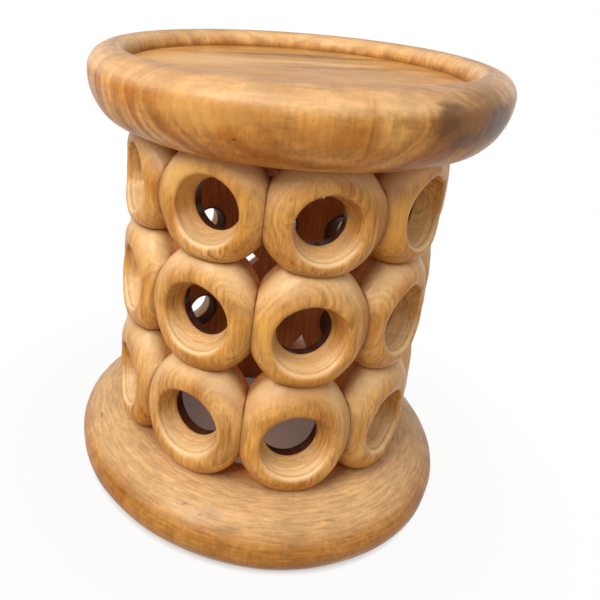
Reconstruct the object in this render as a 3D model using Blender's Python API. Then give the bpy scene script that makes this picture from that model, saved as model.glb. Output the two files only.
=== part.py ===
"""Carved wooden stool: a dished round seat and a rounded base, joined by an openwork drum of carved rings.

Metres, +Z up. The origin is the middle of the face that stands on the floor, and column 1 of the rings
faces -Y. The stool is carved from one log. Its solids are divided along the creases that the carver cut.
"""

import math

import bmesh
import bpy

# Whole stool: the seat and the base are both as wide as the log
overall_height = 0.420
log_radius = 0.185
crease_gap = 0.0003
weld_distance = 0.00002
turned_steps = 56

# Seat: a thick slab with a full round edge, a crowned rim and a shallow dish
seat_thickness = 0.064
seat_girth_below_crest = 0.0196
seat_crest_inset = 0.0235
seat_underside_inset = 0.0336
dish_rim_width = 0.034
dish_depth = 0.016

# Base: a ring with a long rounded shoulder, open below where the drum was hollowed out
base_height = 0.053
base_girth_height = 0.019
base_shoulder_width = 0.0486
base_foot_inset = 0.0168
base_bore_lip = 0.003

# Drum: rows of rings round a hollow, all cut from the same wall
drum_inset = 0.038
drum_wall = 0.035
rings_per_row = 9
bottom_row_share = 0.364
middle_row_share = 0.338
bottom_hole_drop = 0.0036
middle_hole_drop = 0.0030
top_hole_drop = 0.0022

# Ring: a crowned bead round a funnel-shaped hole, cut off where it meets its neighbours. Its points lie in
# these directions, in degrees: the corners of the cut outline are at 30 and 60
directions_per_quarter = (0, 20, 30, 45, 60, 70)
mouth_radius = 0.0300
mouth_below_crown = 0.0035
throat_radius = 0.0228
throat_depth = 0.013
back_radius = 0.0255
edge_below_crown = 0.026
crown_width_share = 0.20
outline_fullness_share = 1.155

# Sizes that follow from those above
seat_underside = overall_height - seat_thickness
dish_floor = overall_height - dish_depth
seat_girth = overall_height - seat_girth_below_crest
seat_crest_radius = log_radius - seat_crest_inset
seat_underside_radius = log_radius - seat_underside_inset
dish_radius = log_radius - dish_rim_width
base_shoulder_radius = log_radius - base_shoulder_width
base_foot_radius = log_radius - base_foot_inset
drum_inner_radius = log_radius - drum_inset - drum_wall
base_bore_radius = drum_inner_radius - base_bore_lip
drum_height = seat_underside - base_height - crease_gap
top_row_share = 1 - bottom_row_share - middle_row_share
column_angle = math.tau / rings_per_row
quarter_turn = math.tau / 4


def ellipse_arc(centre, half_width, half_height, start, end, steps):
    """Points (radius, height) along an ellipse, from the start angle to the end angle."""
    points = []
    for step in range(steps + 1):
        angle = start + (end - start) * step / steps
        points.append((centre[0] + half_width * math.cos(angle), centre[1] + half_height * math.sin(angle)))
    return points


def wood(name, colour, roughness):
    """A Principled material for one wooden piece."""
    material = bpy.data.materials.new(name)
    material.use_nodes = True
    shader = material.node_tree.nodes["Principled BSDF"]
    shader.inputs["Base Color"].default_value = (*colour, 1)
    shader.inputs["Roughness"].default_value = roughness
    shader.inputs["Metallic"].default_value = 0
    material.diffuse_color = (*colour, 1)
    return material


def add_object(name, mesh, material):
    """An object for one piece, in the scene and with its own material slot."""
    piece = bpy.data.objects.new(name, mesh)
    bpy.context.collection.objects.link(piece)
    if not mesh.materials:
        mesh.materials.append(material)
    piece.material_slots[0].link = "OBJECT"
    piece.material_slots[0].material = material
    return piece


def turned(name, profile, closed, material):
    """A solid of revolution. The profile holds (radius, height) points that run down its outer side."""
    points = [(radius, 0, height) for radius, height in profile]
    edges = [(index, index + 1) for index in range(len(points) - 1)]
    if closed:
        edges.append((len(points) - 1, 0))
    mesh = bpy.data.meshes.new(name)
    mesh.from_pydata(points, edges, [])
    piece = add_object(name, mesh, material)
    screw = piece.modifiers.new("Turn", "SCREW")
    screw.axis = "Z"
    screw.angle = math.tau
    screw.steps = turned_steps
    screw.render_steps = turned_steps
    screw.use_merge_vertices = True
    screw.merge_threshold = weld_distance
    screw.use_smooth_shade = True
    return piece


def make_seat():
    """The seat: dish floor, rim shoulder, crest, full round edge and flat underside."""
    shoulder_width = seat_crest_radius - dish_radius
    belly_height = seat_girth - seat_underside
    shoulder = ellipse_arc((seat_crest_radius, dish_floor), shoulder_width, dish_depth,
                           math.pi, quarter_turn, 4)
    crown = ellipse_arc((seat_crest_radius, seat_girth), seat_crest_inset, seat_girth_below_crest,
                        quarter_turn, 0, 4)
    belly = ellipse_arc((seat_underside_radius, seat_girth), seat_underside_inset, belly_height,
                        0, -quarter_turn, 6)
    profile = [(0, dish_floor)] + shoulder + crown[1:] + belly[1:] + [(0, seat_underside)]
    return turned("seat", profile, False, wood("seat wood", (0.60, 0.33, 0.12), 0.38))


def make_base():
    """The base: flat landing for the rings, rounded shoulder, rounded foot, flat floor face and bore."""
    shoulder_height = base_height - base_girth_height
    shoulder = ellipse_arc((base_shoulder_radius, base_girth_height), base_shoulder_width, shoulder_height,
                           quarter_turn, 0, 6)
    foot = ellipse_arc((base_foot_radius, base_girth_height), base_foot_inset, base_girth_height,
                       0, -quarter_turn, 3)
    profile = [(base_bore_radius, base_height)] + shoulder + foot[1:] + [(base_bore_radius, 0)]
    return turned("base", profile, True, wood("base wood", (0.56, 0.31, 0.11), 0.45))


def cut_outline(angle, radius, row_height):
    """Where the bead is cut off at its creases, as (arc, height), at a radius of the drum."""
    half_arc = (radius * column_angle - crease_gap) / 2
    half_height = (row_height - crease_gap) / 2
    arc = half_arc * outline_fullness_share * math.cos(angle)
    height = half_height * outline_fullness_share * math.sin(angle)
    return max(-half_arc, min(half_arc, arc)), max(-half_height, min(half_height, height))


def crown_reach(angle, row_height):
    """How much of the bead's crown is left in this direction: 1 at its full round edge, less at a crease."""
    radius = drum_inner_radius + drum_wall
    full_arc = radius * column_angle * outline_fullness_share / 2
    full_height = row_height * outline_fullness_share / 2
    arc, height = cut_outline(angle, radius, row_height)
    edge = math.hypot(arc / full_arc, height / full_height)
    hole = mouth_radius * math.hypot(math.cos(angle) / full_arc, math.sin(angle) / full_height)
    return (edge - hole) / (1 - hole)


def ring_section(reach):
    """The ring's section: from the mouth of its hole over the crown, down the crease, and back to the throat.

    Each entry is (radius at the hole, share of the way out to the cut outline, depth from the inner wall).
    """
    mouth_depth = drum_wall - mouth_below_crown
    edge_depth = drum_wall - edge_below_crown
    last_angle = math.acos((reach - crown_width_share) / (1 - crown_width_share))
    lip = ellipse_arc((crown_width_share, mouth_depth), crown_width_share, mouth_below_crown,
                      math.pi, quarter_turn, 2)
    crown = ellipse_arc((crown_width_share, edge_depth), 1 - crown_width_share, edge_below_crown,
                        quarter_turn, last_angle, 3)
    section = [(mouth_radius, share / reach, depth) for share, depth in lip + crown[1:]]
    section.append((mouth_radius, 1, 0))
    section.append((back_radius, 0, 0))
    section.append((throat_radius, 0, throat_depth))
    return section


def make_ring_mesh(row_height, hole_drop):
    """One ring, bent to the drum, facing -Y and centred on its own height. Its hole sits a little low."""
    mesh_data = bmesh.new()
    loops = []
    directions = [quarter * quarter_turn + math.radians(degrees)
                  for quarter in range(4) for degrees in directions_per_quarter]
    for angle in directions:
        loop = []
        for hole_radius, share, depth in ring_section(crown_reach(angle, row_height)):
            radius = drum_inner_radius + depth
            outer_arc, outer_height = cut_outline(angle, radius, row_height)
            hole_arc = hole_radius * math.cos(angle)
            hole_height = hole_radius * math.sin(angle) - hole_drop
            bend = (hole_arc + (outer_arc - hole_arc) * share) / radius
            height = hole_height + (outer_height - hole_height) * share
            loop.append(mesh_data.verts.new((radius * math.sin(bend), -radius * math.cos(bend), height)))
        loops.append(loop)
    for index, loop in enumerate(loops):
        following = loops[(index + 1) % len(loops)]
        for corner in range(len(loop)):
            beyond = (corner + 1) % len(loop)
            mesh_data.faces.new((loop[corner], loop[beyond], following[beyond], following[corner]))
    bmesh.ops.recalc_face_normals(mesh_data, faces=mesh_data.faces)
    mesh = bpy.data.meshes.new("ring")
    mesh_data.to_mesh(mesh)
    mesh_data.free()
    mesh.shade_smooth()
    mesh.set_sharp_from_angle(angle=math.radians(50))
    return mesh


def make_drum():
    """Every ring of the drum, in rows from the base up and in columns numbered from the front."""
    rows = (
        ("bottom", bottom_row_share, bottom_hole_drop, (0.58, 0.33, 0.12)),
        ("middle", middle_row_share, middle_hole_drop, (0.61, 0.36, 0.14)),
        ("top", top_row_share, top_hole_drop, (0.63, 0.38, 0.16)),
    )
    rings = []
    row_foot = base_height + crease_gap / 2
    for row_name, row_share, hole_drop, tone in rows:
        row_height = drum_height * row_share
        mesh = make_ring_mesh(row_height, hole_drop)
        material = wood(f"{row_name} ring wood", tone, 0.42)
        for column in range(rings_per_row):
            ring = add_object(f"ring_{row_name}_{column + 1}", mesh, material)
            ring.location = (0, 0, row_foot + row_height / 2)
            ring.rotation_euler = (0, 0, column * column_angle)
            rings.append(ring)
        row_foot += row_height
    return rings


def clear_scene():
    """Removes what a new scene starts with."""
    for item in list(bpy.data.objects):
        bpy.data.objects.remove(item, do_unlink=True)


def main():
    clear_scene()
    pieces = [make_seat(), make_base()] + make_drum()
    print(f"{len(pieces)} pieces in a drum {drum_height:.4f} m high between the seat and the base")


main()
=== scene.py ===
# %% [markdown]
# # A carved wooden stool
# The real stool is cut from one log of pale hardwood: a thick round seat with a shallow dish, a hollow
# drum of carved rings, and a rounded base. Nothing is glued on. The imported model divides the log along
# the carver's creases, and this script gives each piece a finer surface and the look of waxed wood.
#
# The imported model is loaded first, because every piece takes its place from it.

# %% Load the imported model
import math

import bpy
from mathutils import Matrix, Vector, noise


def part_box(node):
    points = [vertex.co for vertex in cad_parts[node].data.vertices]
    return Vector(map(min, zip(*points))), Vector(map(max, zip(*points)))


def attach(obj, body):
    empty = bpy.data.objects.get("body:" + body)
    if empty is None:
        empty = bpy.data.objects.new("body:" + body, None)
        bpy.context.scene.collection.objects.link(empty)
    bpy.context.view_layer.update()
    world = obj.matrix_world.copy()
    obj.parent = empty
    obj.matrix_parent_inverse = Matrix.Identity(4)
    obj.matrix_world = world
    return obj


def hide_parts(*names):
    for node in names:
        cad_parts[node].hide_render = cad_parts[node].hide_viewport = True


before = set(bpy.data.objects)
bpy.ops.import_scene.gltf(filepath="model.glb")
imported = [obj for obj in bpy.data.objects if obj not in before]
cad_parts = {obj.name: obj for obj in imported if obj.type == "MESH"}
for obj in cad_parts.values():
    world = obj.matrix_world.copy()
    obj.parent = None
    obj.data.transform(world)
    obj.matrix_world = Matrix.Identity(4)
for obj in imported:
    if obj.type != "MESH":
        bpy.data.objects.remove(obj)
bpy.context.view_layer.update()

# %% [markdown]
# ## Colours and nodes
# Wood colours are picked as the eye sees them, in sRGB hex. Blender's shaders work with linear light, so
# one function turns each hex value to linear. A second one adds a node, sets its options and fills or
# links its inputs. Every material below is made with it. An input is given by its name or, where names
# repeat, by its number: a Mix node takes its share at 0 and two colours at 6 and 7, and gives a colour at
# output 2.

# %% Two small helpers
def linear(hex_colour):
    """An sRGB hex colour as linear red, green, blue and alpha."""
    channels = [int(hex_colour[start:start + 2], 16) / 255 for start in (1, 3, 5)]
    bent = [c / 12.92 if c <= 0.04045 else ((c + 0.055) / 1.055) ** 2.4 for c in channels]
    return (*bent, 1.0)


def add(tree, kind, inputs, **options):
    """Adds one node with its options. An input takes a value or another node's output socket."""
    node = tree.nodes.new("ShaderNode" + kind)
    for option, value in options.items():
        setattr(node, option, value)
    for socket, value in inputs.items():
        if isinstance(value, bpy.types.NodeSocket):
            tree.links.new(value, node.inputs[socket])
        else:
            node.inputs[socket].default_value = value
    return node


print("honey wood in linear light:", [round(value, 3) for value in linear("#D8A05C")])

# %% [markdown]
# ## The camera
# The photograph looks down on the stool from the front left, held a little tilted, and it is the left
# part of a wider frame. Position and angles were solved from the stool's outline and its ring holes. A
# cropped frame can't be matched by turning the camera, so the lens is shifted as a view camera's is.

# %% Camera
camera_distance = 0.6282
camera_height = 0.4974
camera_side = math.radians(16.22)
camera_heading = math.radians(7.57)
camera_pitch = math.radians(20.75)
camera_roll = math.radians(3.43)
sensor_width = 36.0
focal_share = 1.1372
lens_shift = (0.20, -0.15)
nearest_seen = 0.02

forward = Vector((math.sin(camera_heading) * math.cos(camera_pitch),
                  math.cos(camera_heading) * math.cos(camera_pitch),
                  -math.sin(camera_pitch)))
level_right = Vector((math.cos(camera_heading), -math.sin(camera_heading), 0))
level_up = level_right.cross(forward)
right = level_right * math.cos(camera_roll) + level_up * math.sin(camera_roll)
up = level_up * math.cos(camera_roll) - level_right * math.sin(camera_roll)

camera = bpy.data.objects.new("camera", bpy.data.cameras.new("camera"))
bpy.context.collection.objects.link(camera)
camera.matrix_world = Matrix((
    (right.x, up.x, -forward.x, -camera_distance * math.sin(camera_side)),
    (right.y, up.y, -forward.y, -camera_distance * math.cos(camera_side)),
    (right.z, up.z, -forward.z, camera_height),
    (0, 0, 0, 1),
))
camera.data.sensor_width = sensor_width
camera.data.lens = focal_share * sensor_width
camera.data.shift_x, camera.data.shift_y = lens_shift
camera.data.clip_start = nearest_seen
bpy.context.scene.camera = camera
print(f"lens {camera.data.lens:.1f} mm, {camera.location.length:.3f} m from the foot of the stool")

# %% [markdown]
# ## The floor
# The stool stands on pale ground that fades to white. A floor lit by lamps falls off to grey with
# distance, so the camera sees mostly plain white instead, and only white from a hand's width away. Close
# to the stool a part of the floor's own shade is mixed in, so that it keeps a faint soft shadow. Under the
# stool, where the ground shows through the lowest rings, the soil has nearly its own shade alone, but it is
# painted paler and warmer and keeps a faint white glow: painted light on ground in the stool's shade.
# Mirrors and clear things see the same white as the camera, and one function says who does.

# %% Floor
floor_reach = 40.0
floor_mesh = bpy.data.meshes.new("floor")
floor_mesh.from_pydata([(-floor_reach, -floor_reach, 0), (floor_reach, -floor_reach, 0),
                        (floor_reach, floor_reach, 0), (-floor_reach, floor_reach, 0)], [], [(0, 1, 2, 3)])
floor = bpy.data.objects.new("floor", floor_mesh)
bpy.context.collection.objects.link(floor)
print(f"floor to {floor_reach} m")

# %% Ground that fades to white
# Distances from the middle of the stool, in metres, where the soil turns pale and then white.
painted_light_soil_ends, shade_ends, pale_from = 0.165, 0.170, 0.182
fade_from, white_from = 0.18, 0.36
# The share of plain white under the stool, where it is a faint painted glow, and beside it, and what is
# added far off.
glow_under_stool, white_beside, white_added = 0.06, 0.95, 0.05
# Under the stool the soil is painted paler and warmer: painted light on ground in the stool's shade.
painted_light_soil, grey_soil = linear("#E4B88C"), linear("#AE9880")
pure_white = (1, 1, 1, 1)


def seen_by_eye(tree):
    """A socket that is 1 where the camera looks straight, by a mirror or through glass, and else 0."""
    path = add(tree, "LightPath", {})
    straight = add(tree, "Math", {0: path.outputs["Is Camera Ray"], 1: path.outputs["Is Glossy Ray"]},
                   operation="MAXIMUM")
    seen = add(tree, "Math", {0: straight.outputs[0], 1: path.outputs["Is Transmission Ray"]},
               operation="MAXIMUM")
    return seen.outputs[0]


pale_floor = bpy.data.materials.new("pale floor")
pale_floor.use_nodes = True
tree = pale_floor.node_tree
tree.nodes.clear()
spot = add(tree, "NewGeometry", {})
away = add(tree, "VectorMath", {0: spot.outputs["Position"]}, operation="LENGTH")
outside = add(tree, "MapRange", {"Value": away.outputs["Value"], "From Min": shade_ends,
                                 "From Max": pale_from, "To Min": glow_under_stool, "To Max": white_beside})
far_off = add(tree, "MapRange", {"Value": away.outputs["Value"], "From Min": fade_from,
                                 "From Max": white_from, "To Max": white_added},
              interpolation_type="SMOOTHSTEP")
whiteness = add(tree, "Math", {0: outside.outputs[0], 1: far_off.outputs[0]}, operation="ADD")
shown_white = add(tree, "Math", {0: seen_by_eye(tree), 1: whiteness.outputs[0]}, operation="MULTIPLY")
open_ground = add(tree, "MapRange", {"Value": away.outputs["Value"], "From Min": painted_light_soil_ends,
                                     "From Max": pale_from})
soil = add(tree, "Mix", {0: open_ground.outputs[0], 6: painted_light_soil, 7: grey_soil}, data_type="RGBA")
paint = add(tree, "BsdfDiffuse", {"Color": soil.outputs[2]})
glow = add(tree, "Emission", {"Color": pure_white, "Strength": 1.0})
mixed = add(tree, "MixShader", {0: shown_white.outputs[0], 1: paint.outputs[0], 2: glow.outputs[0]})
add(tree, "OutputMaterial", {"Surface": mixed.outputs[0]})
floor_mesh.materials.append(pale_floor)
print(f"all white from {white_from} m")

# %% [markdown]
# ## Daylight and lamps
# The photograph was taken outdoors under a bright sky: broad pale highlights on the crests, no hard
# shadow, and a darker underside. The world is a weak pale fill, and it shows white to the camera and in
# the wax. The sky's bright part is in front, high and to the left, so it reaches the rings' upper faces
# and the base past the seat's edge. A smaller lamp, higher up, gives the pale sheen that lies on the outer
# slope of the seat's rim and along the shoulder of the base. A wide weak one keeps the right side open.

# %% Daylight
world = bpy.data.worlds.new("daylight")
world.use_nodes = True
tree = world.node_tree
tree.nodes.clear()
fill = add(tree, "Background", {"Color": linear("#F8F5F0"), "Strength": 0.52})
backdrop = add(tree, "Background", {"Color": pure_white, "Strength": 1.0})
mixed = add(tree, "MixShader", {0: seen_by_eye(tree), 1: fill.outputs[0], 2: backdrop.outputs[0]})
add(tree, "OutputWorld", {"Surface": mixed.outputs[0]})
bpy.context.scene.world = world
bpy.context.scene.view_settings.view_transform = "Standard"
print("world:", world.name)

# %% Lamps
# Each lamp: where it stands, how wide it is, its power in watts, and its colour.
lamps = {
    "bright sky": ((-1.06, -0.86, 1.46), 0.90, 25.5, "#FFFCF7"),
    "high sky": ((-0.55, -0.50, 2.00), 0.34, 6.0, "#FFFDFA"),
    "open side": ((1.30, -0.90, 0.90), 1.20, 3.4, "#FFF6EC"),
}
lamps_look_at = Vector((0, 0, 0.22))
for lamp_name, (place, width, power, tint) in lamps.items():
    light = bpy.data.lights.new(lamp_name, "AREA")
    light.shape = "DISK"
    light.size = width
    light.energy = power
    light.color = linear(tint)[:3]
    lamp = bpy.data.objects.new(lamp_name, light)
    bpy.context.collection.objects.link(lamp)
    lamp.location = place
    lamp.rotation_euler = (lamps_look_at - Vector(place)).to_track_quat("-Z", "Y").to_euler()
print(f"{len(lamps)} lamps")

# %% [markdown]
# ## The log's grain
# All the wood is one log. A picture wrapped round each piece would break at every crease, so the pattern
# is solid: worked out from the place of each point in space, it runs on from piece to piece as real grain
# does. The fibres stand upright. The growth layers are nearly flat sheets, because the log was large, and
# they run from left to right across the stool. Where a carved surface cuts them square it shows fine
# streaks, as on the sides of the rings. Where it cuts them at a slant, it shows wide soft arcs, as on the
# seat's rim.
#
# A slow noise bends the sheets. The growth layers are about 9 mm apart. Vessels are drawn 2.2 mm wide and
# fibres 1.5 mm, several times coarser than real ones, because finer ones would not show. "Mottle" is the
# cloudy shimmer of interlocked grain, in upright flecks about 4 mm wide and 14 mm tall.

# %% Sizes of the grain
grain_turn = math.radians(12)
sheet_bend = 0.020
ripple_share = 0.22
layer_spacing = 0.0092
fibre_width = 0.0015
vessel_width = 0.0022
vein_width = 0.012
mottle_width, mottle_height = 0.0042, 1 / 70

# How many waves of each noise fit in a metre along X, Y and Z.
sheet_waves = (9.0, 11.0, 8.0)
ripple_waves = (38.0, 30.0, 22.0)
# Each figure of the wood: its waves, its levels of detail, and how rough they are.
wood_figures = {
    "fibre": ((20.0, 1 / fibre_width, 16.0), 2.0, 0.6),
    "vessel": ((1 / vessel_width, 1 / vessel_width, 17.0), 2.0, 0.55),
    "vein": ((7.0, 1 / vein_width, 9.0), 2.0, 0.5),
    "blotch": ((19.0, 26.0, 17.0), 3.0, 0.55),
    "mottle": ((1 / mottle_width, 1 / mottle_width, 1 / mottle_height), 3.0, 0.65),
}
print(f"growth layers {layer_spacing * 1000:.1f} mm apart, fibres {fibre_width * 1000:.1f} mm")


# %% The grain of the log
def growth_layers(tree, place):
    """The log's place bent by slow waves, and how dark a growth line is there, as sockets."""
    turned = add(tree, "VectorRotate", {"Vector": place, "Angle": grain_turn}, rotation_type="Z_AXIS")
    slow = add(tree, "VectorMath", {0: turned.outputs[0], 1: sheet_waves}, operation="MULTIPLY")
    bend = add(tree, "TexNoise", {"Vector": slow.outputs[0], "Scale": 1.0, "Detail": 2.0})
    quick = add(tree, "VectorMath", {0: turned.outputs[0], 1: ripple_waves}, operation="MULTIPLY")
    ripple = add(tree, "TexNoise", {"Vector": quick.outputs[0], "Scale": 1.0, "Detail": 1.0})
    parts = add(tree, "SeparateXYZ", {0: turned.outputs[0]})
    pushed = add(tree, "Math", {0: bend.outputs[0], 1: sheet_bend, 2: parts.outputs["Y"]},
                 operation="MULTIPLY_ADD")
    depth = add(tree, "Math", {0: ripple.outputs[0], 1: sheet_bend * ripple_share, 2: pushed.outputs[0]},
                operation="MULTIPLY_ADD")
    bent = add(tree, "CombineXYZ", {0: parts.outputs["X"], 1: depth.outputs[0], 2: parts.outputs["Z"]})
    count = add(tree, "Math", {0: depth.outputs[0], 1: layer_spacing}, operation="DIVIDE")
    phase = add(tree, "Math", {0: count.outputs[0]}, operation="FRACT")
    rise = add(tree, "MapRange", {"Value": phase.outputs[0], "From Min": 0.20, "From Max": 0.84},
               interpolation_type="SMOOTHSTEP")
    fall = add(tree, "MapRange", {"Value": phase.outputs[0], "From Min": 1.0, "From Max": 0.84},
               interpolation_type="SMOOTHSTEP")
    line = add(tree, "Math", {0: rise.outputs[0], 1: fall.outputs[0]}, operation="MULTIPLY")
    return bent.outputs[0], line.outputs[0]


def log_grain(tree):
    """The solid pattern of the log, as sockets: the place, the growth lines and each figure of the wood."""
    place = add(tree, "TexCoord", {}).outputs["Object"]
    bent, line = growth_layers(tree, place)
    grain = {"place": place, "line": line}
    for figure, (waves, detail, roughness) in wood_figures.items():
        stretched = add(tree, "VectorMath", {0: bent, 1: waves}, operation="MULTIPLY")
        drawn = add(tree, "TexNoise", {"Vector": stretched.outputs[0], "Scale": 1.0, "Detail": detail,
                                       "Roughness": roughness})
        grain[figure] = drawn.outputs[0]
    return grain


print(f"flecks of mottle {mottle_width * 1000:.1f} mm wide and {mottle_height * 1000:.0f} mm tall")

# %% [markdown]
# ## Wood as it grew
# The log is a pale hardwood that goes from straw through honey to amber. Slow clouds drift between straw
# and honey, veins bring in the amber, and growth lines, fibres and vessels are drawn over them in browns.
# The mottle then makes it all a little lighter or darker. The rings, the seat and the base are three cuts
# of the log, and each has its own tones and its own share of every figure.
#
# Each mesh carries three numbers on its points, worked out with its shape, which the next steps read.
# "Crease" is the creases' brown: wax that gathered there, and painted shade. "Inside" is 0 on the outside,
# a half on the bare inner wall and 1 at a throat painted dark as shade, and the walls of the gaps between
# rings get part of it as painted shade. "Scoop" is the distance along the funnel of a ring, from its throat
# to its mouth.

# %% Wood as it grew
fibre_brown = linear("#8A501C")
layer_line = linear("#965820")
finish_numbers = ("crease", "inside", "scoop")
least_scoop = 0.001


def cut_wood(name, tones, amber_share, line_share, fibre_share):
    """A cut of the log in its own colours, with the sockets that the next steps use."""
    material = bpy.data.materials.new(name)
    material.use_nodes = True
    tree = material.node_tree
    tree.nodes.clear()
    grain = log_grain(tree)
    pale_wood, honey_wood, amber_wood = [linear(tone) for tone in tones]
    cloud = add(tree, "MapRange", {"Value": grain["blotch"], "From Min": 0.36, "From Max": 0.66})
    ground = add(tree, "Mix", {0: cloud.outputs[0], 6: pale_wood, 7: honey_wood}, data_type="RGBA")
    streak = add(tree, "MapRange", {"Value": grain["vein"], "From Min": 0.46, "From Max": 0.70,
                                    "To Max": amber_share}, interpolation_type="SMOOTHSTEP")
    veined = add(tree, "Mix", {0: streak.outputs[0], 6: ground.outputs[2], 7: amber_wood},
                 data_type="RGBA")
    drawn = add(tree, "Math", {0: grain["line"], 1: line_share}, operation="MULTIPLY")
    patchy = add(tree, "MapRange", {"Value": grain["blotch"], "From Min": 0.62, "From Max": 0.40})
    faded = add(tree, "Math", {0: drawn.outputs[0], 1: patchy.outputs[0]}, operation="MULTIPLY")
    layered = add(tree, "Mix", {0: faded.outputs[0], 6: veined.outputs[2], 7: layer_line},
                  data_type="RGBA")
    hair = add(tree, "MapRange", {"Value": grain["fibre"], "From Min": 0.42, "From Max": 0.72,
                                  "To Max": fibre_share})
    pores = add(tree, "MapRange", {"Value": grain["vessel"], "From Min": 0.50, "From Max": 0.74,
                                   "To Max": fibre_share})
    strands = add(tree, "Math", {0: hair.outputs[0], 1: pores.outputs[0]}, operation="ADD",
                  use_clamp=True)
    combed = add(tree, "Mix", {0: strands.outputs[0], 6: layered.outputs[2], 7: fibre_brown},
                 data_type="RGBA")
    shimmer = add(tree, "MapRange", {"Value": grain["mottle"], "From Min": 0.30, "From Max": 0.70,
                                     "To Min": 1.16, "To Max": 0.83})
    mottled = add(tree, "Mix", {0: 1.0, 6: combed.outputs[2], 7: shimmer.outputs[0]},
                  data_type="RGBA", blend_type="MULTIPLY")
    wood = {"material": material, "tree": tree, "grain": grain, "colour": mottled.outputs[2]}
    for number in finish_numbers:
        wood[number] = add(tree, "Attribute", {}, attribute_name=number).outputs["Fac"]
    funnel = add(tree, "Math", {0: wood["scoop"], 1: least_scoop}, operation="GREATER_THAN")
    wood["in_funnel"] = funnel.outputs[0]
    return wood


print("each point of a mesh carries", ", ".join(finish_numbers))

# %% [markdown]
# ## Grime, crease brown and painted light
# Hands leave patches of brown grime, most of all on the seat. The carved creases are painted browner,
# partly for wax and handling that collect there and partly as painted shade, and the sanded crowns stay
# pale. Faces that look up are painted paler, as painted light from the bright sky. The dish gets none of
# it, and neither do the creases or the deep part of the funnels.

# %% Grime, crease brown and painted light
hand_grime = linear("#74461E")
# The creases' brown: wax, and painted shade in the creases.
crease_wax_and_shade = linear("#824E22")
# The paler colour of painted light on faces that look up.
sky_light_paint = linear("#F2D2A4")
grime_waves = (36.0, 36.0, 44.0)
crease_shade_share = 0.70
sky_light_edge = 0.010
funnel_lip, funnel_shade = 0.019, 0.010
funnel_spared, crease_spared = 0.60, 0.8


def wear(wood, grime):
    """Adds patches of hand grime, and browns the creases: wax and painted shade."""
    tree = wood["tree"]
    patches = add(tree, "VectorMath", {0: wood["grain"]["place"], 1: grime_waves}, operation="MULTIPLY")
    touched = add(tree, "TexNoise", {"Vector": patches.outputs[0], "Scale": 1.0, "Detail": 5.0,
                                     "Roughness": 0.62})
    dirt = add(tree, "MapRange", {"Value": touched.outputs[0], "From Min": 0.46, "From Max": 0.70,
                                  "To Max": grime})
    grimy = add(tree, "Mix", {0: dirt.outputs[0], 6: wood["colour"], 7: hand_grime}, data_type="RGBA")
    # The creases are browned: wax and painted shade.
    crease_shade_amount = add(tree, "Math", {0: wood["crease"], 1: crease_shade_share}, operation="MULTIPLY")
    waxed = add(tree, "Mix", {0: crease_shade_amount.outputs[0], 6: grimy.outputs[2], 7: crease_wax_and_shade}, data_type="RGBA")
    wood["colour"] = waxed.outputs[2]


def paint_sky_light(wood, share, tilt, from_radius=0.0):
    """Paints a paler colour as painted light on faces outside a radius, the more they look up between the
    two numbers of the tilt.
    """
    tree = wood["tree"]
    facing = add(tree, "NewGeometry", {}).outputs["Normal"]
    level = add(tree, "SeparateXYZ", {0: facing})
    skyward = add(tree, "MapRange", {"Value": level.outputs["Z"], "From Min": tilt[0],
                                     "From Max": tilt[1], "To Max": share},
                  interpolation_type="SMOOTHSTEP")
    flat = add(tree, "VectorMath", {0: wood["grain"]["place"], 1: (1, 1, 0)}, operation="MULTIPLY")
    radius = add(tree, "VectorMath", {0: flat.outputs[0]}, operation="LENGTH")
    outer = add(tree, "MapRange", {"Value": radius.outputs["Value"], "From Min": from_radius,
                                   "From Max": from_radius + sky_light_edge})
    deep = add(tree, "MapRange", {"Value": wood["scoop"], "From Min": funnel_lip,
                                  "From Max": funnel_shade, "To Max": -funnel_spared})
    open_wood = add(tree, "Math", {0: wood["in_funnel"], 1: deep.outputs[0], 2: outer.outputs[0]},
                    operation="MULTIPLY_ADD")
    spared = add(tree, "Math", {0: wood["crease"], 1: -crease_spared, 2: open_wood.outputs[0]},
                 operation="MULTIPLY_ADD", use_clamp=True)
    amount = add(tree, "Math", {0: skyward.outputs[0], 1: spared.outputs[0]}, operation="MULTIPLY")
    # Painted light: upward faces take the paler colour.
    sky_lit = add(tree, "Mix", {0: amount.outputs[0], 6: wood["colour"], 7: sky_light_paint},
                 data_type="RGBA")
    wood["colour"] = sky_lit.outputs[2]


# The creases' brown is partly wax and partly painted shade.
print(f"full wax browns a crease by {crease_shade_share:.0%}")

# %% [markdown]
# ## Gouged funnels
# The funnel of a ring is painted a little paler than the bead, as painted light in the funnel. The
# gouge went round and round in it and left uneven rounds about 1.8 mm apart. A noise along the "scoop"
# distance draws them. It also drifts with the place, so that no two rings show the same rounds.

# %% Gouged funnels
funnel_light_paint = linear("#EAC48E")
funnel_light_share = 0.10
gouge_spacing = 0.0018
drift_waves = (34.0, 34.0, 26.0)


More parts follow.
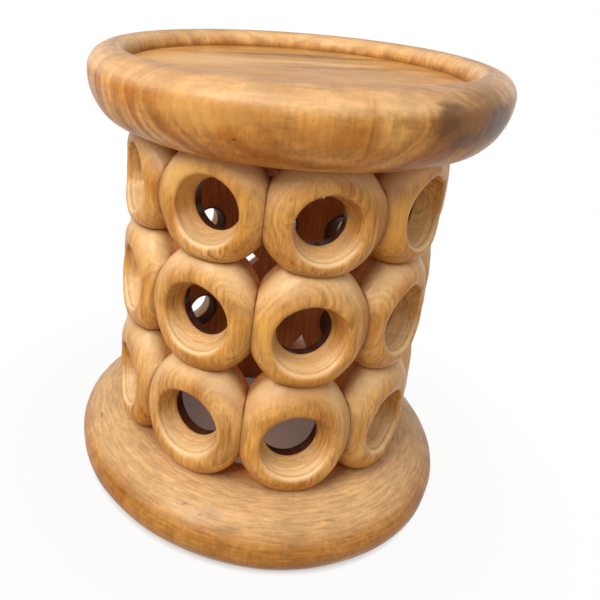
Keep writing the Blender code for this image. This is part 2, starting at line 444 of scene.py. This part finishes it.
def gouge_funnels(wood):
    """Draws the gouge's rounds in the funnels, and keeps them for the relief."""
    tree = wood["tree"]
    cut = add(tree, "CombineXYZ", {0: wood["scoop"]})
    spread = add(tree, "VectorMath", {0: cut.outputs[0], 1: (1 / gouge_spacing, 0, 0)},
                 operation="MULTIPLY")
    near = add(tree, "VectorMath", {0: wood["grain"]["place"], 1: drift_waves}, operation="MULTIPLY")
    drifting = add(tree, "VectorMath", {0: spread.outputs[0], 1: near.outputs[0]})
    rounds = add(tree, "TexNoise", {"Vector": drifting.outputs[0], "Scale": 1.0, "Detail": 2.0})
    # Painted light: the funnels take a paler colour.
    paler = add(tree, "Math", {0: wood["in_funnel"], 1: funnel_light_share}, operation="MULTIPLY")
    funnel_lit = add(tree, "Mix", {0: paler.outputs[0], 6: wood["colour"], 7: funnel_light_paint}, data_type="RGBA")
    shade = add(tree, "MapRange", {"Value": rounds.outputs[0], "From Min": 0.38, "From Max": 0.66,
                                   "To Min": 1.06, "To Max": 0.86})
    scooped = add(tree, "Mix", {0: wood["in_funnel"], 6: pure_white, 7: shade.outputs[0]},
                  data_type="RGBA")
    gouged = add(tree, "Mix", {0: 1.0, 6: funnel_lit.outputs[2], 7: scooped.outputs[2]},
                 data_type="RGBA", blend_type="MULTIPLY")
    wood["colour"] = gouged.outputs[2]
    wood["rounds"] = rounds.outputs[0]


print(f"gouge rounds {gouge_spacing * 1000:.1f} mm apart")

# %% [markdown]
# ## Bare inside and satin wax
# Inside the drum nobody sanded, and the wood is a bare red brown. The throats of the holes are painted
# darkest, as painted shade. Outside, wax is rubbed into the wood: satin, with a soft sheen and no hard
# mirror.
# Wood's own gloss is a little warm, since part of it is light that ran along the fibres below the wax, so
# the sheen is tinted. Fibres, vessels and gouge rounds stand out as a faint relief.

# %% Bare inside and satin wax
# The bare inner wall's red brown, also painted as shade on the walls of the gaps between rings.
inside_wood_and_gap_shade = linear("#E08E50")
# Painted shade at the throats of the holes.
throat_shade_paint = linear("#542A16")
fibre_sheen = linear("#FFE2B8")
wood_ior = 1.45
relief_height = 0.0006
dullness_spread, bare_dullness = 0.12, 0.40


def finish_wood(wood, dullness):
    """Colours the inside of the drum, paints shade at the throats, rubs in the wax and returns the
    material.
    """
    tree, grain, inside = wood["tree"], wood["grain"], wood["inside"]
    rough = add(tree, "MapRange", {"Value": grain["vessel"], "From Min": 0.3, "From Max": 0.7,
                                   "To Min": 1.25, "To Max": 0.70})
    wall = add(tree, "Mix", {0: 1.0, 6: inside_wood_and_gap_shade, 7: rough.outputs[0]},
               data_type="RGBA", blend_type="MULTIPLY")
    in_drum = add(tree, "MapRange", {"Value": inside, "From Max": 0.5})
    at_throat = add(tree, "MapRange", {"Value": inside, "From Min": 0.5, "From Max": 0.9})
    walled = add(tree, "Mix", {0: in_drum.outputs[0], 6: wood["colour"], 7: wall.outputs[2]},
                 data_type="RGBA")
    # Painted shade: the throats of the holes are darkened.
    throat_shaded = add(tree, "Mix", {0: at_throat.outputs[0], 6: walled.outputs[2], 7: throat_shade_paint},
                  data_type="RGBA")
    shine = add(tree, "MapRange", {"Value": grain["blotch"], "From Min": 0.3, "From Max": 0.7,
                                   "To Min": dullness, "To Max": dullness + dullness_spread})
    dulled = add(tree, "Math", {0: inside, 1: bare_dullness, 2: shine.outputs[0]},
                 operation="MULTIPLY_ADD")
    relief = add(tree, "Math", {0: grain["fibre"], 1: grain["vessel"]}, operation="ADD")
    if "rounds" in wood:
        relief = add(tree, "Math", {0: wood["rounds"], 1: wood["in_funnel"], 2: relief.outputs[0]},
                     operation="MULTIPLY_ADD")
    bump = add(tree, "Bump", {"Height": relief.outputs[0], "Strength": 0.35, "Distance": relief_height})
    shader = add(tree, "BsdfPrincipled", {
        "Base Color": throat_shaded.outputs[2], "Roughness": dulled.outputs[0], "Normal": bump.outputs[0],
        "IOR": wood_ior, "Metallic": 0.0, "Specular IOR Level": 0.16, "Specular Tint": fibre_sheen,
        "Coat Weight": 0.20, "Coat Roughness": 0.22})
    add(tree, "OutputMaterial", {"Surface": shader.outputs[0]})
    return wood["material"]


print("the wax mirrors as a thing of IOR", wood_ior)

# %% [markdown]
# ## Marks and sanding
# Each cut of the log has marks of its own, such as a weathered patch at the right of the seat's rim. A
# mark is a soft-edged blob at its place in the log, with its edge broken up by the grain. The seat and the
# base were also sanded round and round, so they have streaks that follow the rim. A 4-D noise draws them
# without a seam, because it reads a direction and a height instead of an angle.

# %% Soft marks
mark_waves = (46.0, 190.0, 90.0)
solid_share = 0.35


def soft_mark(wood, centre, size, colour, strength, raggedness=0.35):
    """Blends a colour over the wood in a blob at a place, in metres, with a ragged edge."""
    tree, place = wood["tree"], wood["grain"]["place"]
    away = add(tree, "VectorMath", {0: place, 1: centre}, operation="SUBTRACT")
    scaled = add(tree, "VectorMath", {0: away.outputs[0], 1: tuple(1 / part for part in size)},
                 operation="MULTIPLY")
    reach = add(tree, "VectorMath", {0: scaled.outputs[0]}, operation="LENGTH")
    spots = add(tree, "VectorMath", {0: place, 1: mark_waves}, operation="MULTIPLY")
    torn = add(tree, "TexNoise", {"Vector": spots.outputs[0], "Scale": 1.0, "Detail": 5.0,
                                  "Roughness": 0.62})
    edge = add(tree, "Math", {0: torn.outputs[0], 1: raggedness * 2, 2: reach.outputs["Value"]},
               operation="MULTIPLY_ADD")
    amount = add(tree, "MapRange", {"Value": edge.outputs[0], "From Min": 1.0 + raggedness,
                                    "From Max": solid_share + raggedness, "To Max": strength},
                 interpolation_type="SMOOTHSTEP")
    marked = add(tree, "Mix", {0: amount.outputs[0], 6: wood["colour"], 7: linear(colour)},
                 data_type="RGBA")
    wood["colour"] = marked.outputs[2]


print(f"a mark is solid within {solid_share:.0%} of its reach")

# %% Streaks from sanding
streaks_round = (9.0, 9.0, 1.0)


def sanded_round(wood, strength, radial_width, height_width):
    """Streaks that follow the rim, this wide in metres along the radius and the height."""
    tree, place = wood["tree"], wood["grain"]["place"]
    flat = add(tree, "VectorMath", {0: place, 1: (1, 1, 0)}, operation="MULTIPLY")
    facing = add(tree, "VectorMath", {0: flat.outputs[0]}, operation="NORMALIZE")
    radius = add(tree, "VectorMath", {0: flat.outputs[0]}, operation="LENGTH")
    parts = add(tree, "SeparateXYZ", {0: place})
    turns = add(tree, "SeparateXYZ", {0: facing.outputs[0]})
    across = add(tree, "Math", {0: radius.outputs["Value"], 1: 1 / radial_width}, operation="MULTIPLY")
    point = add(tree, "CombineXYZ", {0: turns.outputs["X"], 1: turns.outputs["Y"], 2: across.outputs[0]})
    stretched = add(tree, "VectorMath", {0: point.outputs[0], 1: streaks_round}, operation="MULTIPLY")
    upward = add(tree, "Math", {0: parts.outputs["Z"], 1: 1 / height_width}, operation="MULTIPLY")
    streaks = add(tree, "TexNoise", {"Vector": stretched.outputs[0], "W": upward.outputs[0],
                                     "Scale": 1.0, "Detail": 3.0, "Roughness": 0.65},
                  noise_dimensions="4D")
    shade = add(tree, "MapRange", {"Value": streaks.outputs[0], "From Min": 0.34, "From Max": 0.68,
                                   "To Min": 1 + strength * 0.5, "To Max": 1 - strength})
    rubbed = add(tree, "Mix", {0: 1.0, 6: wood["colour"], 7: shade.outputs[0]},
                 data_type="RGBA", blend_type="MULTIPLY")
    wood["colour"] = rubbed.outputs[2]


print(f"about {math.tau * streaks_round[0]:.0f} streaks follow each other round the rim")

# %% [markdown]
# ## The three cuts
# Each mark below gives its place, how far it reaches, its colour, its strength and, where it needs one, how
# ragged its edge is. All were placed against the photograph. On the rings, one darker place where two of
# them meet in front is painted shade, and three paler ones are painted light.

# %% Wood of the rings
ring_tones = ("#E8B46C", "#D89A46", "#BE7624")
ring_light_and_shade_marks = (
    # Painted shade on the top of a bottom ring, under the bulge of the ring above.
    ((0.006, -0.143, 0.163), (0.046, 0.030, 0.026), "#A87434", 0.38),
    # Painted light: three paler places where the seat and the rings cast shade.
    ((-0.104, -0.098, 0.330), (0.036, 0.036, 0.030), "#F8CC80", 0.60),
    ((-0.036, -0.140, 0.214), (0.014, 0.024, 0.026), "#F6C464", 0.42),
    ((0.064, -0.129, 0.311), (0.016, 0.024, 0.032), "#F6BE62", 0.45),
)
ring_cut = cut_wood("waxed ring wood", ring_tones, amber_share=0.70, line_share=0.18, fibre_share=0.46)
wear(ring_cut, grime=0.20)
paint_sky_light(ring_cut, share=0.80, tilt=(0.00, 0.80))
gouge_funnels(ring_cut)
for mark in ring_light_and_shade_marks:
    soft_mark(ring_cut, *mark)
ring_wood = finish_wood(ring_cut, dullness=0.42)
print(f"{ring_wood.name}: {len(ring_cut['tree'].nodes)} nodes, {len(ring_light_and_shade_marks)} marks")

# %% Wood of the seat
seat_tones = ("#EAB66C", "#D08C3E", "#AA6420")
dish_marks = (
    # The whole dish is painted darker, and brown and pale streaks lie on it.
    ((0.000, 0.000, 0.404), (0.175, 0.175, 0.005), "#AE7A2A", 0.66, 0.10),
    ((0.015, 0.091, 0.404), (0.090, 0.0120, 0.012), "#704810", 0.85, 0.60),
    ((0.066, 0.078, 0.404), (0.080, 0.0100, 0.012), "#704810", 0.80, 0.60),
    ((-0.045, 0.070, 0.404), (0.060, 0.0080, 0.012), "#A87434", 0.45),
    ((0.000, 0.044, 0.404), (0.060, 0.0120, 0.012), "#DDB274", 0.50),
    ((0.066, 0.034, 0.404), (0.050, 0.0100, 0.012), "#E4BC80", 0.55),
    ((0.040, 0.012, 0.404), (0.080, 0.0090, 0.012), "#825614", 0.70, 0.60),
    ((-0.080, 0.040, 0.404), (0.080, 0.0450, 0.012), "#DDB070", 0.60),
)
rim_marks = (
    # A pale stretch, painted light on the front face of the rim, and a warmer band in front
    ((-0.105, -0.150, 0.397), (0.075, 0.050, 0.016), "#E6B064", 0.45),
    ((-0.022, -0.181, 0.389), (0.040, 0.020, 0.016), "#B46C20", 0.60),
    # The weathered patch at the right, in four parts
    ((0.094, -0.150, 0.397), (0.074, 0.060, 0.034), "#80562C", 0.84, 0.60),
    ((0.118, -0.136, 0.391), (0.036, 0.034, 0.020), "#4C341C", 0.84, 0.65),
    ((0.060, -0.172, 0.400), (0.020, 0.016, 0.018), "#5A3A1C", 0.65, 0.55),
    ((0.085, -0.163, 0.382), (0.030, 0.020, 0.010), "#5A3A1C", 0.60, 0.55),
    # A knot with a figure like a V above it, a check below it, and a pit
    ((0.008, -0.177, 0.395), (0.003, 0.006, 0.004), "#6A2E18", 0.80),
    ((0.0018, -0.176, 0.4080), (0.0100, 0.012, 0.010), "#9A5C30", 0.50),
    ((0.0018, -0.177, 0.4110), (0.0016, 0.008, 0.005), "#ECCB9E", 0.45),
    ((0.0040, -0.181, 0.388), (0.0022, 0.010, 0.026), "#8A5524", 0.50),
    ((-0.083, -0.160, 0.380), (0.003, 0.004, 0.0018), "#6A3C1C", 0.75),
)
seat_cut = cut_wood("waxed seat wood", seat_tones, amber_share=0.80, line_share=0.48, fibre_share=0.24)
wear(seat_cut, grime=0.50)
paint_sky_light(seat_cut, share=0.46, tilt=(0.00, 0.60), from_radius=0.143)
sanded_round(seat_cut, strength=0.16, radial_width=0.005, height_width=0.005)
for mark in dish_marks + rim_marks:
    soft_mark(seat_cut, *mark)
seat_wood = finish_wood(seat_cut, dullness=0.36)
print(f"{seat_wood.name}: {len(dish_marks)} marks in the dish, {len(rim_marks)} on the rim")

# %% Wood of the base
base_tones = ("#C89048", "#AC6E2A", "#965618")
base_pits = (
    ((-0.094, -0.140, 0.044), (0.0040, 0.0016, 0.002), "#6E4424", 0.45),
    ((-0.082, -0.151, 0.042), (0.0050, 0.0016, 0.002), "#754A28", 0.40),
    ((0.030, -0.166, 0.044), (0.0080, 0.0016, 0.002), "#7A4C26", 0.40),
    ((0.047, -0.174, 0.033), (0.0100, 0.0018, 0.0016), "#6E4322", 0.40),
    ((-0.166, -0.016, 0.045), (0.0020, 0.0060, 0.003), "#6E4424", 0.55),
)
base_cut = cut_wood("waxed base wood", base_tones, amber_share=0.40, line_share=0.10, fibre_share=0.10)
wear(base_cut, grime=0.30)
paint_sky_light(base_cut, share=0.44, tilt=(0.36, 0.94))
sanded_round(base_cut, strength=0.30, radial_width=0.0024, height_width=0.0020)
for mark in base_pits:
    soft_mark(base_cut, *mark)
base_wood = finish_wood(base_cut, dullness=0.36)
print(f"{base_wood.name}: {len(base_pits)} pits")

# %% [markdown]
# ## Hand-cut surfaces
# A gouge and sandpaper never leave a perfect curve. Each surface is first worked out exactly as the
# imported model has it, and then moved by up to about a millimetre with a slow noise. A point's "stray"
# says how much of that it may take: none at a crease, where two pieces meet.

# %% Meshes that remember their creases
sharp_edge = math.radians(50)


def hand_cut(place, size, amount):
    """How far a hand-cut surface strays at this place, in metres, over bumps of about this size."""
    return amount * noise.noise(place / size)


def add_piece(name, points, faces, finish, material, node):
    """One piece of the log: a smooth mesh with its finish numbers, in place of its CAD node."""
    mesh = bpy.data.meshes.new(name)
    mesh.from_pydata(points, [], faces)
    for index, number in enumerate(finish_numbers):
        attribute = mesh.attributes.new(number, "FLOAT", "POINT")
        attribute.data.foreach_set("value", [values[index] for values in finish])
    mesh.materials.append(material)
    mesh.shade_smooth()
    mesh.set_sharp_from_angle(angle=sharp_edge)
    piece = bpy.data.objects.new(name, mesh)
    bpy.context.collection.objects.link(piece)
    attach(piece, "root")
    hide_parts(node)
    return piece


print("a surface 30 mm along strays", round(hand_cut(Vector((0.03, 0, 0)), 0.04, 0.001) * 1000, 3), "mm")

# %% [markdown]
# ## Seat and base
# The seat and the base are the plain rounds of the log, above and below the carved drum. Each could be a
# bevelled cylinder, but a profile carried round the axis gives every height its own curve and its own
# wax, so they are made as turned forms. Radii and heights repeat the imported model's named sizes. The
# steps are finer, and the rim and the shoulder stray a little as a hand-cut edge does.

# %% Turned forms
log_radius = 0.185
quarter = math.pi / 2
turned_steps = 200
slow_wave, fine_wave = (0.075, 0.0011), (0.030, 0.0005)


def arc(centre, width, height, start, end, steps, stray=1.0):
    """Profile points (radius, height, crease, inside, stray) along an ellipse."""
    points = []
    for step in range(steps + 1):
        angle = start + (end - start) * step / steps
        points.append((centre[0] + width * math.cos(angle), centre[1] + height * math.sin(angle),
                       0.0, 0.0, stray))
    return points


def turned_piece(name, profile, closed, material, node):
    """A turned form with hand-cut waviness, as one mesh."""
    points, faces, finish, rows = [], [], [], []
    for radius, height, crease, inside, stray in profile:
        row = []
        for step in range(turned_steps if radius > 0 else 1):
            turn = math.tau * step / turned_steps
            outward = Vector((math.cos(turn), math.sin(turn), 0))
            place = outward * radius + Vector((0, 0, height))
            wave = hand_cut(outward * log_radius, *slow_wave) + hand_cut(place, *fine_wave)
            row.append(len(points))
            points.append(place + outward * wave * stray * (radius / log_radius))
            finish.append((crease, inside, 0.0))
        rows.append(row)
    pairs = list(zip(rows, rows[1:])) + ([(rows[-1], rows[0])] if closed else [])
    for upper, lower in pairs:
        for step in range(turned_steps):
            after = (step + 1) % turned_steps
            if len(upper) == 1:
                faces.append((upper[0], lower[step], lower[after]))
            elif len(lower) == 1:
                faces.append((upper[after], upper[step], lower[0]))
            else:
                faces.append((upper[after], upper[step], lower[step], lower[after]))
    return add_piece(name, points, faces, finish, material, node)


print(f"{turned_steps} steps round, {math.tau * log_radius / turned_steps * 1000:.1f} mm each at the rim")

# %% [markdown]
# The seat's profile starts in the middle of the dish, climbs its short wall to the crest of the rim, and
# goes round the full edge to the flat underside. The crest takes the creases' brown, as painted shade on
# the upward top of the rim.

# %% Seat
overall_height = 0.420
seat_thickness = 0.064
dish_depth, dish_rim_width = 0.016, 0.034
# How far the widest place lies below the top, and the crest and the underside's edge inside the girth.
seat_girth_drop, seat_crest_inset, seat_underside_inset = 0.0196, 0.0235, 0.0336
seat_underside = overall_height - seat_thickness
seat_girth = overall_height - seat_girth_drop
seat_crest_radius = log_radius - seat_crest_inset
seat_underside_radius = log_radius - seat_underside_inset
dish_radius = log_radius - dish_rim_width
dish_floor = overall_height - dish_depth
dish_rounds = 8
crest_shade_inward, crest_shade_outward = 0.006, 0.024


def shade_crest(profile, reach):
    """The profile with the creases' brown added along the crest of the rim as painted shade, fading over
    this reach.
    """
    return [(radius, height, max(crease, 1 - abs(radius - seat_crest_radius) / reach), inside, stray)
            for radius, height, crease, inside, stray in profile]


floor_profile = [(dish_radius * share / dish_rounds, dish_floor, 0, 0, 0) for share in range(dish_rounds)]
# The corner where the dish's floor meets its wall is browned as a crease: wax and painted shade.
floor_profile += [(dish_radius - 0.0035, dish_floor, 0.15, 0, 0),
                  (dish_radius - 0.0012, dish_floor, 0.9, 0, 0)]
shoulder = arc((seat_crest_radius, dish_floor), seat_crest_radius - dish_radius, dish_depth,
               math.pi, quarter, steps=10, stray=0.6)
# The foot of the dish's wall is browned as a crease: wax and painted shade.
shoulder[0] = (*shoulder[0][:2], 1.0, 0, 0)
shoulder[1] = (*shoulder[1][:2], 0.5, 0, 0.3)
crown = arc((seat_crest_radius, seat_girth), log_radius - seat_crest_radius, overall_height - seat_girth,
            quarter, 0, steps=14)
# The crest takes the creases' brown as painted shade.
shoulder, crown = shade_crest(shoulder, crest_shade_inward), shade_crest(crown, crest_shade_outward)
belly = arc((seat_underside_radius, seat_girth), log_radius - seat_underside_radius,
            seat_girth - seat_underside, 0, -quarter, steps=22)
# Under the seat, (radius, crease, inside): the creases' brown where the drum stands, wax and painted shade,
# bare wood inside it.
under_seat = ((0.1475, 0.7, 0), (0.143, 1, 0.1), (0.132, 1, 0.4), (0.122, 1, 0.5), (0.06, 0, 0.5),
              (0, 0, 0.5))
underside = [(radius, seat_underside, crease, inside, 0) for radius, crease, inside in under_seat]
seat = turned_piece("carved_seat", floor_profile + shoulder + crown[1:] + belly[1:] + underside, False,
                    seat_wood, "seat")
print(f"seat {len(seat.data.vertices)} points")

# %% [markdown]
# The base is a rounded ring, bored out where the drum was hollowed. Its profile is a closed loop: the flat
# landing that the drum stands on, the domed shoulder, the foot, and back up the bore.

# %% Base
base_height = 0.053
base_girth = 0.019
base_shoulder_width, base_foot_inset = 0.0486, 0.0168
base_shoulder_radius = log_radius - base_shoulder_width
base_foot_radius = log_radius - base_foot_inset
drum_inner_radius = 0.112
base_bore_lip, bore_edge = 0.003, 0.002
base_bore_radius = drum_inner_radius - base_bore_lip

# The flat that the drum stands on, from the bare bore out to the shoulder.
# The landing's crease numbers brown it and keep painted light off it: painted shade by the foot of the
# drum.
landing = [(base_bore_radius, base_height, 0.6, 0.5, 0), (0.121, base_height, 0.6, 0.5, 0),
           (0.128, base_height, 0.6, 0.1, 0), (base_shoulder_radius, base_height, 0.3, 0, 0)]
base_shoulder = arc((base_shoulder_radius, base_girth), log_radius - base_shoulder_radius,
                    base_height - base_girth, quarter, 0, steps=24)
base_foot = arc((base_foot_radius, base_girth), log_radius - base_foot_radius, base_girth,
                0, -quarter, steps=10)
foot_edge = (*base_foot[-1][:2], 0, 0, 0)
under_base = [foot_edge, (base_bore_radius + bore_edge, 0, 0, 0.5, 0),
              (base_bore_radius, bore_edge, 0, 0.5, 0)]
base_profile = landing + base_shoulder[1:] + base_foot[1:-1] + under_base
base = turned_piece("carved_base", base_profile, True, base_wood, "base")
print(f"base {len(base.data.vertices)} points")

# %% [markdown]
# ## The rings
# Each ring is a crowned bead round a funnel-shaped hole, bent to the curve of the drum. A torus cut by
# booleans would leave ragged creases, so a section is swept round the hole instead: up the funnel, over
# the lip, across the crown and down to its edge. Where a neighbour is in the way the bead is cut off
# before its edge, so the creases between neighbours are shallow and the diamond gaps between four rings
# are deep. Between columns the gouge left a little wood standing, so the crease there is a soft valley.
# Bending is done last, by reading the sideways distance as an arc of the drum.

# %% The outline of a ring
drum_wall = 0.035
rings_per_row = 9
column_angle = math.tau / rings_per_row
crease_gap = 0.0003
mouth_radius, mouth_depth = 0.0300, drum_wall - 0.0035
outline_fullness_share = 1.155


def cut_outline(angle, radius, half_height):
    """Where the bead is cut off at its creases, as (arc, height), at a radius of the drum."""
    half_arc = (radius * column_angle - crease_gap) / 2
    out_arc = half_arc * outline_fullness_share * math.cos(angle)
    out_height = half_height * outline_fullness_share * math.sin(angle)
    return max(-half_arc, min(half_arc, out_arc)), max(-half_height, min(half_height, out_height))


def crown_reach(angle, half_height):
    """How much of the bead's crown is left in this direction: 1 at its full edge, less at a crease."""
    full_arc = (drum_inner_radius + drum_wall) * column_angle * outline_fullness_share / 2
    full_height = half_height * outline_fullness_share
    out_arc, out_height = cut_outline(angle, drum_inner_radius + drum_wall, half_height)
    edge = math.hypot(out_arc / full_arc, out_height / full_height)
    hole = mouth_radius * math.hypot(math.cos(angle) / full_arc, math.sin(angle) / full_height)
    return min((edge - hole) / (1 - hole), 1.0)


print(f"{crown_reach(0, 0.05):.2f} of the crown is left towards the next column")

# %% The ring's section
throat_radius, throat_depth = 0.0228, 0.013
back_radius, back_rim = 0.0255, 0.004
throat_lip = (0.0003, 0.0012)
edge_depth = drum_wall - 0.026
crown_width_share = 0.20
funnel_hollow = 0.0006
funnel_steps, lip_steps, crown_steps = 8, 6, 14
scoop_start, scoop_length = 0.002, 0.018
# Painted shade towards the diamond gaps: the crown's edge and the walls into the gaps take part of the
# inner wall's colour.
gap_edge_shade_most, gap_edge_shade_fade = 0.15, 0.6
gap_wall_share, gap_wall_shade = 0.72, 0.32


def ring_section(reach):
    """Points (radius at the hole, share of the way out, depth, crease, inside, scoop, stray)."""
    section = []
    for step in range(funnel_steps):
        way = step / funnel_steps
        hollow = funnel_hollow * math.sin(math.pi * way)
        radius = throat_radius + (mouth_radius - throat_radius) * way + hollow
        depth = throat_depth + (mouth_depth - throat_depth) * way
        section.append((radius, 0, depth, 0, 0, scoop_start + scoop_length * way, way))
    for step in range(lip_steps):
        angle = math.pi - quarter * step / lip_steps
        section.append((mouth_radius, crown_width_share * (1 + math.cos(angle)) / reach,
                        mouth_depth + (drum_wall - mouth_depth) * math.sin(angle), 0, 0, 0, 1))
    last_angle = math.acos((reach - crown_width_share) / (1 - crown_width_share))
    for step in range(crown_steps + 1):
        way = step / crown_steps
        angle = quarter + (last_angle - quarter) * way
        share = (crown_width_share + (1 - crown_width_share) * math.cos(angle)) / reach
        depth = edge_depth + (drum_wall - edge_depth) * math.sin(angle)
        # Towards its edge the crown takes the creases' brown and, by the gaps, part of the inner wall's
        # colour: painted shade.
        gap_edge_shade = max(0.0, gap_edge_shade_most - math.sin(angle) * gap_edge_shade_fade)
        section.append((mouth_radius, share, depth, way ** 4, gap_edge_shade, 0, 1 - way ** 2))
    # The wall down into a gap: the creases' brown and part of the inner wall's colour, as painted shade.
    section.append((mouth_radius, 1, depth * gap_wall_share, 1, gap_wall_shade, 0, 0))
    section.append((mouth_radius, 1, 0, 0, 0.5, 0, 0))
    # Round the back of the hole, darker towards the throat: painted shade.
    section.append((back_radius + back_rim, 0, 0, 0, 0.6, 0, 0))
    section.append((back_radius, 0, 0, 0, 1, 0, 0))
    section.append((throat_radius + throat_lip[0], 0, throat_depth - throat_lip[1], 0, 1, 0, 0))
    return section


print(f"{len(ring_section(1.0))} points in the section, from {throat_radius * 1000:.1f} mm at the throat")

# %% Soft valleys between columns
valley_fill = 0.0028
valley_width = 0.0075
valley_ends = math.cos(math.radians(36))
valley_fade = 0.13


def soft_valley(angle, side_gap):
    """How much wood is left standing in a crease between columns, in metres, near the crease."""
    beside = max(0.0, min(1.0, (abs(math.cos(angle)) - valley_ends) / valley_fade))
    near = max(0.0, 1 - side_gap / valley_width)
    return valley_fill * near ** 2 * beside ** 2 * (3 - 2 * beside)


print(f"{soft_valley(0, 0) * 1000:.1f} mm of wood left in the middle of a crease")

# %% [markdown]
# ## Every ring by hand
# No two holes were cut alike. Those at the front were measured against the photograph, and each has its
# own small offsets, in millimetres, and its own size. Some at the back show through them, smaller and
# further to one side. The rest get small differences from a noise.

# %% Places of the holes
hole_drops = {"bottom": 0.0036, "middle": 0.0030, "top": 0.0022}
# Row and column: how far the hole sits to the side and up, and its size as a share.
holes_seen = {
    ("bottom", 9): (-2.0, 2.2, 1.04), ("bottom", 1): (-1.0, -1.0, 1.06),
    ("middle", 9): (-0.7, 1.3, 1.03), ("middle", 1): (-1.7, -2.0, 1.05), ("middle", 2): (-0.4, -0.7, 1.03),
    ("top", 9): (2.2, 1.0, 0.97), ("top", 1): (0.0, -1.8, 0.93), ("top", 2): (1.5, 0.5, 1.02),
    ("bottom", 4): (-6.0, 0.0, 0.88), ("bottom", 5): (4.0, 0.0, 0.91), ("bottom", 6): (11.0, -3.0, 0.73),
    ("middle", 5): (7.0, -1.0, 0.89), ("middle", 6): (10.0, -1.0, 0.78),
    ("top", 5): (3.0, 1.0, 0.93), ("top", 6): (6.0, 0.0, 0.88),
}
# The most that an unseen hole differs: in place, in millimetres, and in size, as a share.
unseen_offset, unseen_size = 2.0, 0.05


def hole_place(row, column):
    """How far this ring's hole sits to the side and up, in metres, and its size as a share."""
    if (row, column) in holes_seen:
        side, rise, size = holes_seen[row, column]
    else:
        # A place in the noise for the column and the row. Rows with equally long names share theirs.
        seed = Vector((column * 1.7, len(row) * 2.3, 0.5))
        side = unseen_offset * noise.noise(seed)
        rise = unseen_offset * noise.noise(seed + Vector((5.1, 0, 0)))
        size = 1 + unseen_size * noise.noise(seed + Vector((0, 7.3, 0)))
    return side / 1000, rise / 1000 - hole_drops[row], size


print(f"{len(holes_seen)} of {len(hole_drops) * rings_per_row} holes placed by the photograph")

# %% Rings of the drum
ring_steps = 96
ring_wave = (0.022, 0.0010)


def carved_ring(row, column):
    """One ring of the drum as a fine mesh, in the place of its CAD node."""
    node = f"ring_{row}_{column}"
    low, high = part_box(node)
    middle, half_height = (low[2] + high[2]) / 2, (high[2] - low[2]) / 2
    centre_turn = (column - 1) * column_angle
    side, rise, size = hole_place(row, column)
    points, faces, finish = [], [], []
    for step in range(ring_steps):
        angle = math.tau * step / ring_steps
        section = ring_section(crown_reach(angle, half_height))
        for hole_radius, share, depth, crease, inside, scoop, stray in section:
            radius = drum_inner_radius + depth
            out_arc, out_height = cut_outline(angle, radius, half_height)
            hole_arc = hole_radius * size * math.cos(angle) + side
            hole_height = hole_radius * size * math.sin(angle) + rise
            sideways = hole_arc + (out_arc - hole_arc) * share
            turn = centre_turn + sideways / radius
            height = middle + hole_height + (out_height - hole_height) * share
            outward = Vector((math.sin(turn), -math.cos(turn), 0))
            if share > crown_width_share and depth > edge_depth:
                radius += soft_valley(angle, radius * column_angle / 2 - abs(sideways))
            place = outward * radius + Vector((0, 0, height))
            points.append(place + outward * hand_cut(place, *ring_wave) * stray)
            finish.append((crease, inside, scoop))
    count = len(section)
    for step in range(ring_steps):
        after = (step + 1) % ring_steps
        for corner in range(count):
            beyond = (corner + 1) % count
            faces.append((step * count + corner, after * count + corner,
                          after * count + beyond, step * count + beyond))
    ring = add_piece(f"carved_{node}", points, faces, finish, ring_wood, node)
    return ring


rings = [carved_ring(row, column) for row in hole_drops for column in range(1, rings_per_row + 1)]
print(f"{len(rings)} rings of {len(rings[0].data.polygons)} faces each")
